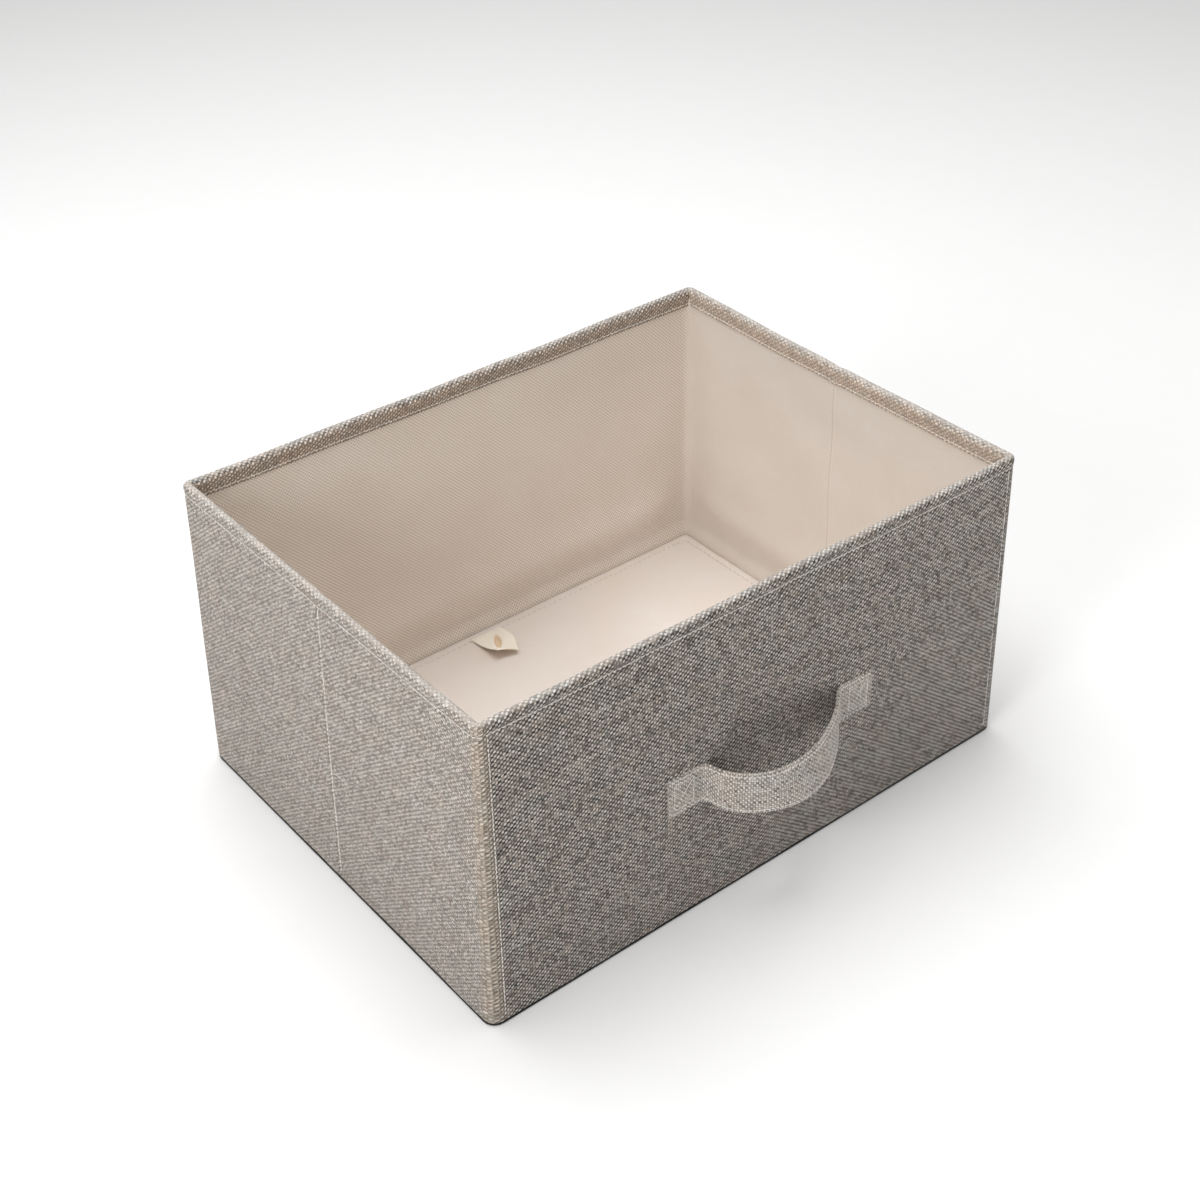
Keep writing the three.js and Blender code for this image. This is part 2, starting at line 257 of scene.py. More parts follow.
class Number:
    """A number that shader nodes work out, so that materials can be written as ordinary sums."""

    def __init__(self, tree, socket):
        self.tree = tree
        self.socket = socket

    def __add__(self, other):
        return self.tree.math("ADD", self, other)

    def __sub__(self, other):
        return self.tree.math("SUBTRACT", self, other)

    def __rsub__(self, other):
        return self.tree.math("SUBTRACT", other, self)

    def __mul__(self, other):
        return self.tree.math("MULTIPLY", self, other)

    def __truediv__(self, other):
        return self.tree.math("DIVIDE", self, other)

    __rmul__ = __mul__


class Tree:
    """Short names for building one material's nodes. Colours and vectors are passed on as sockets."""

    def __init__(self, name, constants):
        self.material = bpy.data.materials.new(name)
        self.material.use_nodes = True
        self.nodes = self.material.node_tree.nodes
        self.links = self.material.node_tree.links
        self.shader = self.nodes["Principled BSDF"]
        for key, value in constants.items():
            self.shader.inputs[key].default_value = value

    def add(self, kind, **settings):
        node = self.nodes.new(kind)
        for key, value in settings.items():
            setattr(node, key, value)
        return node

    def put(self, socket, value):
        """Sets a socket to a constant, or links it to a number or to another node's output."""
        if isinstance(value, Number):
            value = value.socket
        if isinstance(value, bpy.types.NodeSocket):
            self.links.new(value, socket)
        elif isinstance(value, tuple):
            socket.default_value = (*value, 1)
        else:
            socket.default_value = value

    def fill(self, node, *values):
        """Puts values into a node's first inputs and gives its first output."""
        for socket, value in zip(node.inputs, values):
            self.put(socket, value)
        return node.outputs[0]

    def fill_named(self, node, **values):
        """Puts values into a node's inputs of those names."""
        for name, value in values.items():
            self.put(node.inputs[name], value)

    def math(self, operation, *values):
        return Number(self, self.fill(self.add("ShaderNodeMath", operation=operation), *values))

    def mix(self, share, a, b):
        """A number between a and b."""
        return (b - a) * share + a

    def vector(self, x, y, z=0.0):
        return self.fill(self.add("ShaderNodeCombineXYZ"), x, y, z)

    def cloth_uv(self):
        """The distance along and up the cloth, in metres."""
        split = self.add("ShaderNodeSeparateXYZ")
        self.fill(split, self.add("ShaderNodeUVMap", uv_map="cloth").outputs[0])
        return Number(self, split.outputs[0]), Number(self, split.outputs[1])

    def place(self):
        """The point's place in the object, in metres."""
        return self.add("ShaderNodeTexCoord").outputs["Object"]

    def noise(self, vector, scale=1.0, detail=2.0, roughness=0.5):
        node = self.add("ShaderNodeTexNoise", noise_dimensions="3D")
        self.fill_named(node, Vector=vector, Scale=scale, Detail=detail, Roughness=roughness)
        return Number(self, node.outputs["Fac"])

    def dice(self, x, y):
        """A random number for each whole x and y."""
        node = self.add("ShaderNodeTexWhiteNoise", noise_dimensions="2D")
        self.fill_named(node, Vector=self.vector(x, y))
        return Number(self, node.outputs["Value"])

    def band(self, value, low, high, soft):
        """1 between low and high, fading to 0 outside."""
        edges = []
        for edge, outside in ((low, 0.0), (high, 1.0)):
            step = self.add("ShaderNodeMapRange", interpolation_type="SMOOTHSTEP")
            faded = self.fill(step, value, edge - soft, edge + soft, outside, 1.0 - outside)
            edges.append(Number(self, faded))
        return edges[0] * edges[1]

    def ramp(self, share, *stops):
        """A colour that runs through the stops, each one a place and a colour."""
        node = self.add("ShaderNodeValToRGB")
        self.put(node.inputs[0], share)
        elements = node.color_ramp.elements
        while len(elements) < len(stops):
            elements.new(0.5)
        for element, (position, colour) in zip(elements, stops):
            element.position = position
            element.color = (*colour, 1)
        return node.outputs[0]

    def blend(self, share, a, b, kind="MIX"):
        """A colour between two others."""
        node = self.add("ShaderNodeMix", data_type="RGBA", blend_type=kind)
        for place, value in ((0, share), (6, a), (7, b)):
            self.put(node.inputs[place], value)
        return node.outputs[2]

    def multiply(self, a, b):
        """The product of two colours."""
        return self.blend(1.0, a, b, "MULTIPLY")

    def tint(self, colour, amount):
        """A colour made lighter or darker by a number."""
        return self.multiply(colour, self.vector(amount, amount, amount))

    def finish(self, colour, height, depth, strength):
        """Links the colour and a bump of that depth in metres to the shader."""
        bump = self.add("ShaderNodeBump")
        self.fill_named(bump, Strength=strength, Distance=depth, Height=height)
        self.links.new(bump.outputs[0], self.shader.inputs["Normal"])
        self.links.new(colour, self.shader.inputs["Base Color"])
        return self.material


def linear(red, green, blue):
    """A screen colour from 0 to 255 as the shader's linear colour."""
    shares = (c / 255 for c in (red, green, blue))
    return tuple(c / 12.92 if c <= 0.04045 else ((c + 0.055) / 1.055) ** 2.4 for c in shares)


def crown(tree, place, half_width):
    """1 in the middle of a thread, falling to 0 at its edges."""
    share = place / half_width
    return tree.math("MAXIMUM", 1.0 - share * share, 0.0)


def weave(tree, x, y, warp_pitch, lean):
    """A plain weave of twisted thread: its height from 0 to 1, whether warp is on top, and both tones."""
    across, up = x / warp_pitch, y / WEFT_PITCH
    column, row = tree.math("FLOOR", across), tree.math("FLOOR", up)
    on_top = tree.math("FLOORED_MODULO", column + row, 2.0)
    u = tree.math("FRACT", across) - 0.5
    v = tree.math("FRACT", up) - 0.5
    warp_round = tree.math("SQRT", crown(tree, u - v * lean, 0.46))
    weft_round = tree.math("SQRT", crown(tree, v - u * lean * 0.55, 0.5))
    warp_height = warp_round * (crown(tree, v, 0.56) * 0.6 + 0.4)
    weft_height = weft_round * (crown(tree, u, 0.56) * 0.5 + 0.4)
    height = tree.mix(on_top, weft_height, warp_height)

    dice = tree.dice(column, row) * 0.5 - 0.25
    slub = 190.0
    warp_along = tree.vector(column * 7.31, y * slub)
    weft_along = tree.vector(x * slub, row * 5.77, 9.5)
    long_slub = tree.noise(tree.vector(x * 50.0, row * 3.17, 4.0))
    pale = tree.math("MAXIMUM", long_slub - 0.62, 0.0) * 5.0
    tones = [tree.noise(along) * 1.6 - 0.3 + dice + pale for along in (warp_along, weft_along)]
    return height, on_top, tones


def linen_material(name, warp_shades, weft_shades, outer=False):
    """Heathered plain weave: light warp over darker weft, with dark pinholes and painted shade in the
    hollows between the threads.
    """
    sheen = {"Sheen Weight": 0.15, "Sheen Roughness": 0.6}
    tree = Tree(name, {"Roughness": 0.92, "Specular IOR Level": 0.2, **sheen})
    x, y = tree.cloth_uv()
    ends = end_walls(tree, x) if outer else 0.0
    stray = tree.mix(ends, STRAY, END_WALL_STRAY)
    drift = tree.noise(tree.vector(x, y), 55.0)
    warp_place = x + drift * (0.9 * MM) + tree.noise(tree.vector(x, y), 420.0, 1.0) * stray
    weft_place = y - drift * (0.7 * MM) + tree.noise(tree.vector(x, y, 5.0), 420.0, 1.0) * stray
    lean = tree.mix(ends, LEAN, SMALL_LEAN) if outer else SMALL_LEAN
    height, on_top, tones = weave(tree, warp_place, weft_place, WARP_PITCH if outer else STRAP_PITCH, lean)

    places = (0.1, 0.5, 0.95)
    warp = tree.ramp(tones[0], *zip(places, warp_shades))
    weft = tree.ramp(tones[1], *zip(places, weft_shades))
    colour = tree.blend(on_top, weft, warp)
    cloud = tree.noise(tree.vector(x, y, 3.0), 16.0, 3.0)
    tone_and_painted_shade = cloud * 0.10 + 0.78
    # dark pinholes, with painted shade in the hollows between the threads
    pinholes_and_hollow_shade = height * 0.84 + 0.16
    if outer:
        # partly painted light: the end walls get an evened tone and paler, shallower pinholes, as where
        # light fills the holes
        colour = tree.blend(ends * 0.36, colour, linear(196, 188, 180))
        colour = corner_seam(tree, x, colour)
        colour = rim_fibres_and_painted_light(tree, y, colour)
        # painted light: shallower pinholes on the end walls
        pinholes_and_hollow_shade = tree.mix(ends, pinholes_and_hollow_shade, pinholes_and_hollow_shade * 0.62 + 0.34)
        # painted highlight: the pinholes fade along the rim's crest
        pinholes_and_hollow_shade = tree.mix(crest_band(tree, y) * 0.7, pinholes_and_hollow_shade, 0.8)
        tone_and_painted_shade = tone_and_painted_shade * (y * (0.20 / HEIGHT) + 0.89)  # painted shade: a little darker towards the foot
    hue = tree.noise(tree.vector(x, y, 7.0), 60.0, 3.0)
    colour = tree.multiply(colour, tree.ramp(hue, (0.35, (1.0, 1.0, 0.98)), (0.65, (1.05, 0.98, 0.93))))
    return tree.finish(tree.tint(colour, pinholes_and_hollow_shade * tone_and_painted_shade), height, 0.09 * MM, 1.0)


def end_walls(tree, x):
    """1 on the end walls and 0 elsewhere. There the cloth gets an evened tone and shallower pinholes,
    partly painted light.
    """
    soft = RIM_RADIUS
    right, left = (
        tree.band(x, SIDE_STARTS[side] - soft, SIDE_STARTS[side] + 2 * HALF_SIDES[side] + soft, soft / 2)
        for side in (1, 3)
    )
    return right + left


def corner_seam(tree, x, colour):
    """The cloth's own joining seam at one corner: a warm cream band with two pale lines in it."""
    beside = tree.math("WRAP", x + ARC / 2, RING_LENGTH / 2, -RING_LENGTH / 2)
    band = tree.band(beside, -4 * MM, 6 * MM, 1.2 * MM)
    colour = tree.blend(band * 0.2, colour, linear(236, 212, 184))
    for middle in (0.3, 2.8):
        line = tree.band(beside, (middle - 0.4) * MM, (middle + 0.4) * MM, 0.3 * MM)
        colour = tree.blend(line * 0.4, colour, linear(250, 240, 222))
    return colour


def cloth_rows():
    """The cloth's section, up the wall from its foot, over the rim and down the hem: (inset, height, part).

    The part is 0 on the wall, 1 over the rim and 2 on the hem inside.
    """
    rows = [(7 * MM, FOOT_LIFT + 0.3 * MM, 0), (4 * MM, FOOT_LIFT + 0.1 * MM, 0), (2 * MM, FOOT_LIFT, 0)]
    for angle in np.linspace(0, math.pi / 2, 5):
        rows.append((1.6 * MM * (1 - math.sin(angle)), FOOT_LIFT + 1.6 * MM * (1 - math.cos(angle)), 0))
    stitch = HEIGHT - RIM_STITCH_DROP
    radius = WALL / 2
    top = HEIGHT - radius
    low = HEIGHT - HEM_DEPTH
    rows += [(0, height, 0) for height in np.linspace(FOOT_LIFT + 4 * MM, stitch - 4 * MM, 74)]
    rows += [(0, height, 1) for height in np.linspace(stitch - 3 * MM, top, 14)]
    for angle in np.linspace(0, math.pi, 13)[1:-1]:
        rows.append((radius - radius * math.cos(angle), top + radius * math.sin(angle), 1))
    rows += [(WALL, height, 2) for height in np.linspace(top, low + 0.6 * MM, 14)]
    rows += [(WALL - 0.25 * MM, low + 0.1 * MM, 2), (WALL - 0.8 * MM, low, 2)]
    rows += [(WALL - 1.1 * MM, low + 0.8 * MM, 2), (WALL - 1.1 * MM, low + 4 * MM, 2)]
    return np.array(rows, float)


def crest_place():
    """How far up the cloth the top of the rim is."""
    rows = cloth_rows()
    return run_of(rows[:, :2])[np.argmax(rows[:, 1])]


def crest_band(tree, y):
    """1 along the top of the rim and 0 elsewhere."""
    crest = crest_place()
    return tree.band(y, crest - 2.2 * MM, crest + 2.4 * MM, 1.2 * MM)


def rim_fibres_and_painted_light(tree, y, colour):
    """The rim's crest is paler, pale fibres with a painted highlight, and the hem inside is paler and
    warmer, painted light bounced from the lining.
    """
    # pale fibres with a painted highlight along the crest
    colour = tree.blend(crest_band(tree, y) * 0.3, colour, linear(246, 243, 240))
    # painted bounce light: the hem inside is paler and warmer
    hem = tree.band(y, crest_place() + 3.5 * MM, crest_place() + 60 * MM, 1.5 * MM)
    painted_bounce = tree.multiply(colour, (1.5, 1.4, 1.3))
    return tree.blend(hem, colour, tree.blend(0.5, painted_bounce, linear(196, 182, 169)))


def felt_material(name, colour, pitch, contrast, depth, glow=0.0, plain=None, shading=None, tinting=None):
    """Pressed non-woven felt with slanting rows of small bonded dimples.

    The last three give, for a place on the cloth, how far its dimples are pressed away, a shade and a tint.
    """
    scatter = {"Subsurface Weight": glow, "Subsurface Radius": (1.0, 0.85, 0.7), "Subsurface Scale": 2 * MM}
    tree = Tree(name, {"Roughness": 0.85, "Specular IOR Level": 0.25, "Sheen Weight": 0.1, **scatter})
    x, y = tree.cloth_uv()

    def cell(place):
        centred = tree.math("FRACT", place / pitch) * 2.0 - 1.0
        return centred * centred

    dimple = tree.math("SMOOTH_MIN", cell(x + y) + cell(x - y), 0.7, 0.3)
    fibres = tree.noise(tree.vector(x, y * 0.35), 1500.0, 4.0, 0.7)
    cloud = tree.noise(tree.vector(x, y, 1.5), 22.0, 3.0)
    if plain:
        dimple = tree.mix(plain(tree, x, y), dimple, 0.48)
    shade = dimple * contrast + (1.0 - 0.6 * contrast)
    shade = shade + (fibres - 0.5) * 0.12 + (cloud - 0.5) * 0.06
    if shading:
        shade = shade * shading(tree, x, y)
    warm = tuple(c * k for c, k in zip(colour, (1.0, 0.98, 0.95)))
    base = tree.ramp(cloud, (0.3, warm), (0.7, colour))
    if tinting:
        base = tree.multiply(base, tinting(tree, x, y))
    return tree.finish(tree.tint(base, shade), fibres * 0.5 + dimple, depth, 0.8)


def pressed_ends(tree, x, _):
    """How far the lining's dimples are pressed away: mostly so on the end walls."""
    return end_walls(tree, x) * 0.8


def lining_shade(tree, x, y):
    """Painted shade: the end walls' lining is a little darker. Its sewn fold has dark stitch holes beside a
    ridge with a painted highlight.
    """
    shade = 1.0
    holes = tree.math("COSINE", y * (2 * math.pi / STITCH_PITCH)) * 0.06 + 0.13
    for side in (1, 3):
        middle = SIDE_STARTS[side] + HALF_SIDES[side]
        row = tree.band(x, middle - 0.3 * MM, middle + 0.5 * MM, 0.35 * MM)
        # painted highlight along the fold's ridge
        ridge = tree.band(x, middle - 1.5 * MM, middle - 0.8 * MM, 0.35 * MM)
        shade = shade - row * holes + ridge * 0.08
    # painted shade: the end walls' lining is darker
    return shade * (1.0 - pressed_ends(tree, x, y) * 0.12)


def seam_shade(tree, x, y):
    """The shade in the groove of the base cover's seam, deepest where a stitch pulls the felt down."""
    from_x = INSERT_X - tree.math("ABSOLUTE", x)
    from_y = INSERT_Y - tree.math("ABSOLUTE", y)
    edge = tree.math("MINIMUM", from_x, from_y)
    groove = tree.band(edge, SEAM_INSET - 0.8 * MM, SEAM_INSET + 0.7 * MM, 0.5 * MM)
    pull = tree.math("COSINE", (x + y) * (2 * math.pi / BASE_STITCH_PITCH)) * 0.13 + 0.10
    return 1.0 - groove * pull


def pinch_tint(tree, x, y):
    """The warm shade inside the pull tab's pinched oval."""
    s = y / TAB_LENGTH
    from_middle = (x / TAB_HALF - (PINCH_START - s * PINCH_SLANT)) / PINCH_WIDTH
    from_centre = (s - PINCH_PLACE) / PINCH_LENGTH
    oval = from_middle * from_middle + from_centre * from_centre
    return tree.blend(tree.band(oval, -1.0, 0.7, 0.15), (1, 1, 1), (0.85, 0.72, 0.6))


def thread_material(name, colour):
    """Twisted sewing thread."""
    tree = Tree(name, {"Roughness": 0.6, "Specular IOR Level": 0.35, "Sheen Weight": 0.2})
    fuzz = tree.noise(tree.place(), 3000.0, 3.0)
    tone = tree.noise(tree.place(), 240.0)
    darker = tuple(c * 0.78 for c in colour)
    base = tree.ramp(tone, (0.3, darker), (0.65, colour))
    return tree.finish(tree.tint(base, fuzz * 0.3 + 0.85), fuzz, 0.08 * MM, 0.6)


def board_material(name, colour):
    """Pressed grey fibre board with flecks."""
    tree = Tree(name, {"Roughness": 0.8, "Specular IOR Level": 0.3})
    flecks = tree.noise(tree.place(), 900.0, 5.0, 0.75)
    cloud = tree.noise(tree.place(), 30.0, 3.0)
    darker = tuple(c * 0.6 for c in colour)
    base = tree.ramp(flecks, (0.35, darker), (0.6, colour))
    return tree.finish(tree.tint(base, cloud * 0.25 + 0.88), flecks, 0.1 * MM, 0.6)


def floor_material(name):
    """A plain pale studio floor with a barely visible grain."""
    tree = Tree(name, {"Roughness": 0.75, "Specular IOR Level": 0.2})
    grain = tree.noise(tree.place(), 40.0, 4.0)
    base = tree.ramp(grain, (0.3, (0.94, 0.94, 0.94)), (0.7, (0.95, 0.95, 0.95)))
    return tree.finish(base, grain, 0.05 * MM, 0.2)


LINEN_WARP = (linear(150, 142, 135), linear(230, 223, 215), linear(255, 251, 246))
LINEN_WEFT = (linear(44, 41, 38), linear(98, 92, 86), linear(180, 172, 163))
STRAP_WARP = (linear(206, 199, 191), linear(248, 243, 237), linear(255, 253, 250))
STRAP_WEFT = (linear(134, 127, 120), linear(200, 193, 185), linear(244, 239, 232))
LINING_FELT = felt_material("lining_felt", linear(235, 226, 217), 2.6 * MM, 0.6, 0.35 * MM,
                            plain=pressed_ends, shading=lining_shade)
COVER_FELT = felt_material("cover_felt", linear(231, 223, 217), 2.0 * MM, 0.05, 0.1 * MM,
                           shading=seam_shade)
TAB_FELT = felt_material("tab_felt", linear(255, 243, 228), 2.0 * MM, 0.05, 0.1 * MM,
                         glow=0.5, tinting=pinch_tint)

# Each look is a material and the slot it fills
LINEN = (linen_material("linen_cloth", LINEN_WARP, LINEN_WEFT, outer=True), "linen_cloth")
STRAP = (linen_material("strap_webbing", STRAP_WARP, STRAP_WEFT), "strap_webbing")
LINING = (LINING_FELT, "lining_felt")
COVER = (COVER_FELT, "cover_felt")
TAB = (TAB_FELT, "cover_felt")
BOTTOM = (felt_material("bottom_felt", linear(44, 43, 43), 2.6 * MM, 0.25, 0.15 * MM), "bottom_felt")
PALE_THREAD = (thread_material("pale_thread", linear(244, 239, 232)), "pale_thread")
CREAM_THREAD = (thread_material("cream_thread", linear(255, 250, 243)), "cream_thread")
BOARD = (board_material("stiffener_board", linear(158, 148, 132)), "stiffener_board")


# ---------- the walls' shape


class Columns:
    """Upright lines on the walls.

    Sides 0 to 3 are front, right, back and left. Places on them go from left to right, seen from outside.
    """

    def __init__(self):
        self.lines = []

    def wall(self, side, places):
        """Adds lines on the flat part of a wall, at distances from its middle."""
        half = HALF_SIDES[side]
        for place in places:
            self.add(side, True, place / half, 0, SIDE_STARTS[side] + half + place)
        return self

    def corner(self, side, steps):
        """Adds lines on the rounded corner after a wall."""
        start = SIDE_STARTS[side] + 2 * HALF_SIDES[side]
        for step in range(1, steps):
            share = step / steps
            self.add(side, False, 1.0, share * math.pi / 2, start + share * ARC)
        return self

    def add(self, side, flat, along, turn, u):
        self.lines.append((side, flat, along, (side - 1) * math.pi / 2 + turn, u))

    def ready(self):
        """Works out where each line stands."""
        self.side, flat, self.along, angle, self.u = (np.array(values) for values in zip(*self.lines))
        self.normal_x, self.normal_y = np.cos(angle), np.sin(angle)
        turn = self.side * math.pi / 2
        self.centre_x = self.along * np.round(np.cos(turn)) + np.round(np.sin(turn))
        self.centre_y = self.along * np.round(np.sin(turn)) - np.round(np.cos(turn))
        self.on_end = flat & (self.side % 2 == 1)
        self.from_fold = np.where(self.on_end, np.abs(self.along) * (HALF_Y - RIM_RADIUS), FAR)
        return self

    def points(self, inset, height, radius, push):
        """The points of each row. push is rows by columns, and the others have one value for each row."""
        inset, height, radius = (np.asarray(a, float)[:, None] for a in (inset, height, radius))
        radius = np.maximum(radius, 0.4 * MM)
        x = self.centre_x * (HALF_X - inset - radius) + self.normal_x * (radius + push)
        y = self.centre_y * (HALF_Y - inset - radius) + self.normal_y * (radius + push)
        return np.stack([x, y, height + rim_sway(self, height[:, 0])], axis=-1)


def wall_places(half, spacing, fine_fold):
    """Distances from a wall's middle, closer together beside a fold line."""
    places = set(np.linspace(-half, half, round(2 * half / spacing) + 1))
    if fine_fold:
        places |= {k * 0.8 * MM for k in range(-7, 8)}
    kept = []
    for place in sorted(places):
        if not kept or place - kept[-1] > 0.3 * MM:
            kept.append(place)
    kept[-1] = half
    return kept


def ring_columns(spacing, corner_steps):
    """Upright lines all round the bin."""
    columns = Columns()
    for side in range(4):
        columns.wall(side, wall_places(HALF_SIDES[side], spacing, side % 2 == 1))
        columns.corner(side, corner_steps)
    return columns.ready()


def lean_in(height):
    """How far inwards the wall leans at a height: out at the foot and in at the rim."""
    share = np.clip(height / HEIGHT, 0, 1)
    return share * RIM_INSET - (1 - share) * FOOT_OUTSET


def corner_radius(height):
    """The radius of the wall's upright corners, wider at the foot than at the rim."""
    share = np.clip(height / HEIGHT, 0, 1)
    return FOOT_RADIUS + share * (RIM_RADIUS - FOOT_RADIUS)


def wall_push(columns, height):
    """How far the walls stand out of their planes, for rows of heights and the columns."""
    v = np.asarray(height, float)[:, None]
    up = np.clip(v / HEIGHT, 0, 1)
    across = 1 - columns.along**2
    bow = WALL_BOW * across * np.sin(np.pi * up) ** 0.8
    kink = -FOLD_KINK * (1 - np.abs(columns.along)) * (0.35 + 0.65 * up)
    push = np.where(columns.on_end, 0.5 * bow + kink, bow)
    soft = 0.35 * MM * ripple(columns.u, v, 0.11, 3) + 0.14 * MM * ripple(columns.u, v, 0.035, 4)
    return push + soft * (0.3 + 0.7 * across)


def rim_sway(columns, height):
    """How far the rim rises and dips along its length, fading out below it."""
    dip = -RIM_DIP * hump(columns.from_fold, 0, 5 * MM)
    sag = -RIM_SAG * (1 - columns.along**2)
    sway = 0.35 * MM * ripple(columns.u, 0 * columns.u, 0.09, 8) + dip + sag
    share = smooth(HEIGHT - 34 * MM, HEIGHT - 6 * MM, height)
    return share[:, None] * sway


def wall_points(columns, inset, height, push=0.0):
    """Points on the walls at an inset from the outer face, with their bow, lean and rim sway."""
    height = np.asarray(height, float)
    inset = np.broadcast_to(np.asarray(inset, float), height.shape)
    return columns.points(inset + lean_in(height), height, corner_radius(height) - inset, push)


# ---------- outer cloth


def outer_cloth():
    """The linen outside: one cloth round the bin, folded over the rim and sewn down."""
    columns = ring_columns(3 * MM, 7)
    rows = cloth_rows()
    inset, height, part = rows.T
    length = run_of(rows[:, :2])
    push = wall_push(columns, np.minimum(height, HEIGHT - 4 * MM))

    outside = part < 1.5
    stitch_groove = hump(height, HEIGHT - RIM_STITCH_DROP, 0.9 * MM) * outside
    hem_groove = hump(height, HEIGHT - HEM_STITCH_DROP, 0.9 * MM) * ~outside
    pad = smooth(HEIGHT - RIM_STITCH_DROP, HEIGHT - 4 * MM, height)
    ruffle = ripple(columns.u, 0, 6 * MM, 12) * hump(height, HEIGHT - 5 * MM, 4 * MM)[:, None]
    relief = 0.35 * MM * pad - 0.45 * MM * stitch_groove - 0.4 * MM * hem_groove
    outwards = np.where(outside, 1.0, -1.0)[:, None]
    push = push + outwards * (relief[:, None] + 0.12 * MM * ruffle)

    seam = hump(columns.from_fold, 0, 1.3 * MM)
    puff = hump(columns.from_fold, 3.2 * MM, 2.0 * MM)
    under_rim = 1 - smooth(HEIGHT - 11 * MM, HEIGHT - 8 * MM, height)
    sewn = smooth(2 * MM, 12 * MM, height) * under_rim * outside
    push = push + sewn[:, None] * (0.25 * MM * puff - 0.7 * MM * seam)

    uv = lay_out(np.append(columns.u, RING_LENGTH), length)
    piece = grid_mesh("outer_cloth", wall_points(columns, inset, height, push), uv, closed=True)
    thicken(piece, CLOTH_THICKNESS)
    names = [f"outer_{side}" for side in ("front", "back", "left", "right")]
    names += [f"corner_{y}_{x}" for y in ("front", "back") for x in ("left", "right")]
    finish_piece(piece, LINEN, "shell", names)


# ---------- stitching


def stitch_row(name, path, normals, pitch, length, radius, look, body, replaces=()):
    """A row of separate stitches along a line, each one rising out of the cloth and dipping back.

    There is one normal for each point of the line, or one for all of them.
    """
    run = run_of(path)
    normals = np.broadcast_to(normals, path.shape)
    count = int(run[-1] / pitch)
    middles = (np.arange(count) + 0.5) * pitch + (run[-1] - count * pitch) / 2
    shares = np.array([-0.5, -0.42, -0.2, 0.0, 0.2, 0.42, 0.5])
    swell = np.array([0.25, 0.75, 1.0, 1.05, 1.0, 0.75, 0.25])
    lift = np.array([-1.1, -0.3, 0.35, 0.5, 0.35, -0.3, -1.1])
    places = middles[:, None] + shares[None, :] * length
    centre = np.stack([np.interp(places, run, path[:, k]) for k in range(3)], axis=-1)
    normal = unit(np.stack([np.interp(places, run, normals[:, k]) for k in range(3)], axis=-1))
    side = np.cross(unit(np.gradient(centre, axis=1)), normal)
    centre = centre + normal * (lift * radius)[None, :, None]

    sides = 6
    angle = (2 * np.pi * np.arange(sides) / sides)[:, None]
    around = normal[:, :, None] * np.cos(angle) + side[:, :, None] * np.sin(angle)
    points = centre[:, :, None] + around * (swell * radius)[None, :, None, None]
    index = np.arange(count * len(shares) * sides).reshape(count, len(shares), sides)
    after = np.roll(index, -1, axis=2)
    quads = np.stack([index[:, :-1], index[:, 1:], after[:, 1:], after[:, :-1]], axis=-1).reshape(-1, 4)
    caps = np.stack([index[:, 0], index[:, -1, ::-1]], axis=1).reshape(-1, sides)
    piece = new_piece(name, points, quads.tolist() + caps.tolist())
    return finish_piece(piece, look, body, replaces)


def rim_stitches():
    """The two threads of the seam that holds the folded rim down, outside and inside."""
    columns = ring_columns(3 * MM, 7)
    normals = np.stack([columns.normal_x, columns.normal_y, 0 * columns.u], axis=-1)
    normals = np.concatenate([normals, normals[:1]])
    seams = [
        ("rim_stitches", 0, RIM_STITCH_DROP, -0.15, 1, 0.33, PALE_THREAD, "rim_thread"),
        ("hem_stitches", WALL, HEM_STITCH_DROP, 0.25, -1, 0.24, CREAM_THREAD, "hem_thread"),
    ]
    for name, inset, drop, out, sign, radius, look, node in seams:
        height = [HEIGHT - drop]
        line = wall_points(columns, inset, height, wall_push(columns, height) + out * MM)[0]
        line = np.concatenate([line, line[:1]])
        stitch_row(name, line, sign * normals, STITCH_PITCH, 3.0 * MM, radius * MM, look, "shell", [node])


def wall_stitches():
    """The sewn fold lines of the end walls and the seams beside the corners."""
    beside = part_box("corner_thread_front_right")[1].x
    seams = [("fold", end, side, 0.0, -0.45, 2.7, 0.3) for side, end in ((1, "right"), (3, "left"))]
    for side, depth, sign in ((0, "front", 1), (2, "back", -1)):
        for end, place in (("left", -sign * beside), ("right", sign * beside)):
            seams.append(("corner", f"{depth}_{end}", side, place, 0.05, 2.6, 0.26))
    heights = np.linspace(5 * MM, HEIGHT - RIM_STITCH_DROP - 1.2 * MM, 60)
    for kind, name, side, place, out, length, radius in seams:
        columns = Columns().wall(side, [place]).ready()
        line = wall_points(columns, 0, heights, wall_push(columns, heights) + out * MM)[:, 0]
        normal = (columns.normal_x[0], columns.normal_y[0], 0.0)
        stitch_row(
            f"{kind}_stitches_{name}", line, normal, STITCH_PITCH, length * MM, radius * MM,
            PALE_THREAD, "shell", [f"{kind}_thread_{name}"],
        )


# ---------- boards in the walls


